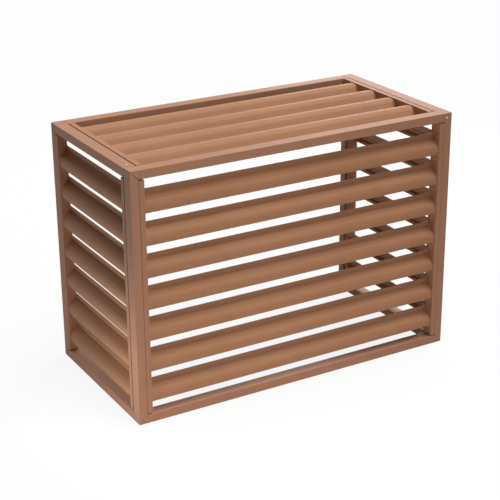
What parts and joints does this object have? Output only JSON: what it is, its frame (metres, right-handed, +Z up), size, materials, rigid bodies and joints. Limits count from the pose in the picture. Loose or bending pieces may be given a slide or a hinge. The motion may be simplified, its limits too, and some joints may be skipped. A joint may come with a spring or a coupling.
{
  "type": "air conditioner screen",
  "caption": "Louvred box-shaped cover for an outdoor air conditioner unit, with slatted front, sides and lid, open at the back and underneath.",
  "frame": {"origin": "on the ground, under the middle of the whole box", "axes": "+Z up; the louvred front faces -Y and the open back +Y; +X is to the right seen from the front"},
  "size_m": [1, 0.502, 0.71],
  "materials": {
    "frame_coat": "brown powder coat, satin, on aluminium",
    "strip_coat": "brown powder coat, satin, on aluminium",
    "blade_coat": "brown powder coat, satin, on aluminium",
    "packer_coat": "dark brown coat, matt, on aluminium",
    "connector_nylon": "black glass-filled nylon",
    "screw_head": "light brown coated steel"
  },
  "bodies": {
    "root": {"front_blade_1": "blade_coat", "front_blade_2": "blade_coat", "front_blade_3": "blade_coat", "front_blade_4": "blade_coat", "front_blade_5": "blade_coat", "front_blade_6": "blade_coat", "front_blade_7": "blade_coat", "front_connector_bottom_left": "connector_nylon", "front_connector_bottom_right": "connector_nylon", "front_connector_top_left": "connector_nylon", "front_connector_top_right": "connector_nylon", "front_corner_screw_bottom_left": "screw_head", "front_corner_screw_bottom_right": "screw_head", "front_corner_screw_top_left": "screw_head", "front_corner_screw_top_right": "screw_head", "front_rail_bottom": "frame_coat", "front_rail_top": "frame_coat", "front_stile_left": "frame_coat", "front_stile_right": "frame_coat", "front_strip_left": "strip_coat", "front_strip_right": "strip_coat", "left_blade_1": "blade_coat", "left_blade_2": "blade_coat", "left_blade_3": "blade_coat", "left_blade_4": "blade_coat", "left_blade_5": "blade_coat", "left_blade_6": "blade_coat", "left_blade_7": "blade_coat", "left_packer": "packer_coat", "left_rail_bottom": "frame_coat", "left_rail_top": "frame_coat", "left_rear_post": "frame_coat", "left_strip_front": "strip_coat", "left_strip_rear": "strip_coat", "rear_connector_bottom_left": "connector_nylon", "rear_connector_bottom_right": "connector_nylon", "rear_connector_top_left": "connector_nylon", "rear_connector_top_right": "connector_nylon", "rear_rail_top": "frame_coat", "right_blade_1": "blade_coat", "right_blade_2": "blade_coat", "right_blade_3": "blade_coat", "right_blade_4": "blade_coat", "right_blade_5": "blade_coat", "right_blade_6": "blade_coat", "right_blade_7": "blade_coat", "right_packer": "packer_coat", "right_rail_bottom": "frame_coat", "right_rail_top": "frame_coat", "right_rear_post": "frame_coat", "right_strip_front": "strip_coat", "right_strip_rear": "strip_coat", "top_blade_1": "blade_coat", "top_blade_2": "blade_coat", "top_blade_3": "blade_coat", "top_blade_4": "blade_coat", "top_packer_left": "packer_coat", "top_packer_right": "packer_coat", "top_strip_left": "strip_coat", "top_strip_right": "strip_coat"}
  },
  "joints": []
}
